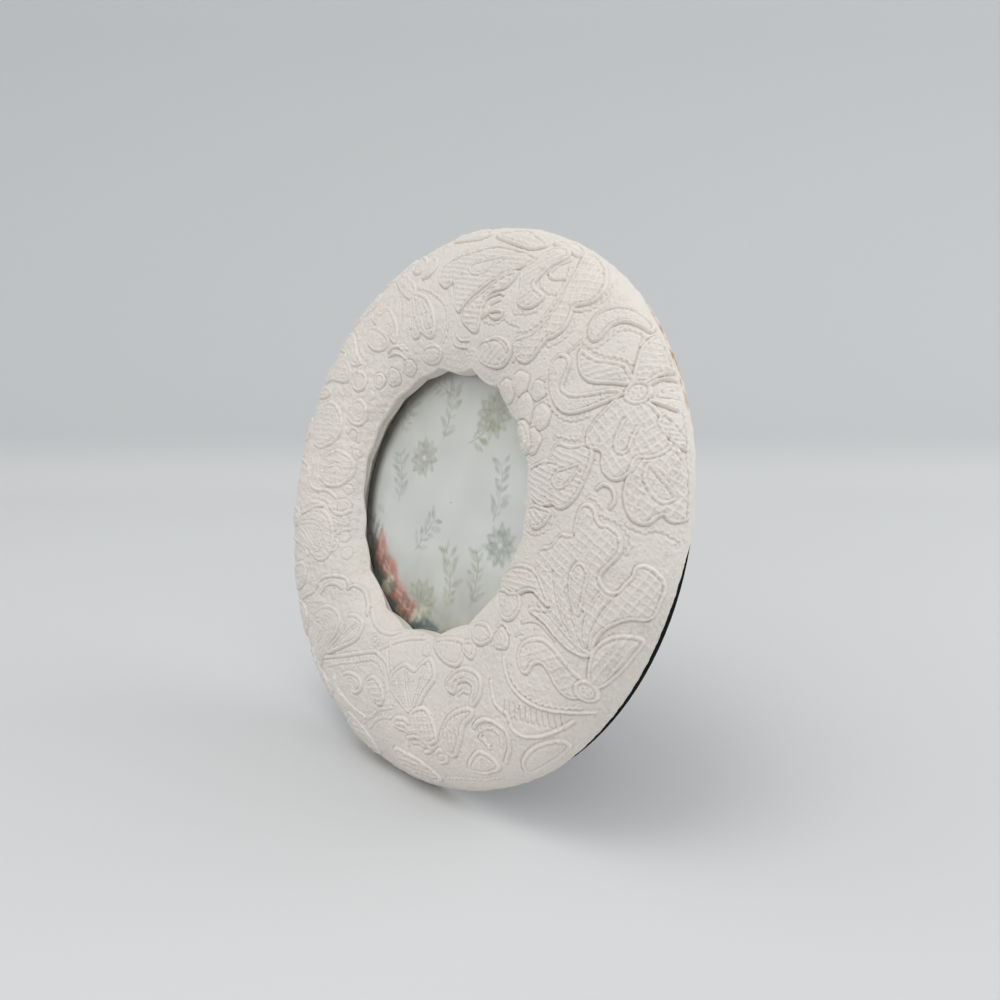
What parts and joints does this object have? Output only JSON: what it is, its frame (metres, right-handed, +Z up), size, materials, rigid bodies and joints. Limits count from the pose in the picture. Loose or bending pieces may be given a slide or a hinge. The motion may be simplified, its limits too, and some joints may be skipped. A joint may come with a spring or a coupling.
{
  "type": "round photo frame",
  "caption": "Round tabletop photo frame: a cast ring with lace relief and a scalloped opening, on a folding easel leg.",
  "frame": {"origin": "on the floor, under the centre of the standing frame's bounding box", "axes": "+Z up, -Y towards the viewer of the picture, +X to that viewer's right"},
  "size_m": [0.204, 0.0856, 0.1977],
  "materials": {
    "cast_resin": "matt off-white, cast, plaster-like",
    "black_board": "black dyed fibreboard, matt",
    "black_velvet": "short black flock",
    "clear_glass": "clear float glass",
    "printed_paper": "pale blue-grey print",
    "grey_card": "plain card",
    "button_steel": "stamped, satin",
    "screw_steel": "zinc plated",
    "hinge_steel": "stamped, satin",
    "staple_wire": "galvanised wire",
    "black_ribbon": "woven satin ribbon"
  },
  "bodies": {
    "frame": {"lace_ring": "cast_resin", "backing_board": "black_board", "backing_velvet": "black_velvet", "glass_pane": "clear_glass", "photo_insert": "printed_paper", "filler_card": "grey_card", "back_panel": "black_board", "panel_velvet": "black_velvet", "button_screws": "screw_steel", "hinge_leaf_panel": "hinge_steel", "hinge_pin": "hinge_steel", "panel_rivets": "hinge_steel", "stay_ribbon": "black_ribbon", "panel_staple": "staple_wire"},
    "leg": {"easel_leg": "black_board", "leg_velvet": "black_velvet", "hinge_leaf_leg": "hinge_steel", "leg_rivets": "hinge_steel", "leg_staple": "staple_wire"},
    "turn_button_1": {"turn_button_1": "button_steel"},
    "turn_button_2": {"turn_button_2": "button_steel"},
    "turn_button_3": {"turn_button_3": "button_steel"},
    "turn_button_4": {"turn_button_4": "button_steel"}
  },
  "joints": [
    {"name": "leg_fold", "type": "hinge", "parent": "frame", "child": "leg", "pos_m": [0, 0.0068, 0.12651], "axis": [-1, 0, 0], "range_deg": [0, 30], "deforming": ["stay_ribbon"]},
    {"name": "turn_button_1_turn", "type": "hinge", "parent": "frame", "child": "turn_button_1", "pos_m": [0.04137, 0.00781, 0.138], "axis": [0, 0.9659, -0.2588], "range_deg": [-90, 90]},
    {"name": "turn_button_2_turn", "type": "hinge", "parent": "frame", "child": "turn_button_2", "pos_m": [-0.04137, 0.00781, 0.138], "axis": [0, 0.9659, -0.2588], "range_deg": [-90, 90]},
    {"name": "turn_button_3_turn", "type": "hinge", "parent": "frame", "child": "turn_button_3", "pos_m": [-0.04137, -0.0136, 0.05809], "axis": [0, 0.9659, -0.2588], "range_deg": [-90, 90]},
    {"name": "turn_button_4_turn", "type": "hinge", "parent": "frame", "child": "turn_button_4", "pos_m": [0.04137, -0.0136, 0.05809], "axis": [0, 0.9659, -0.2588], "range_deg": [-90, 90]}
  ]
}
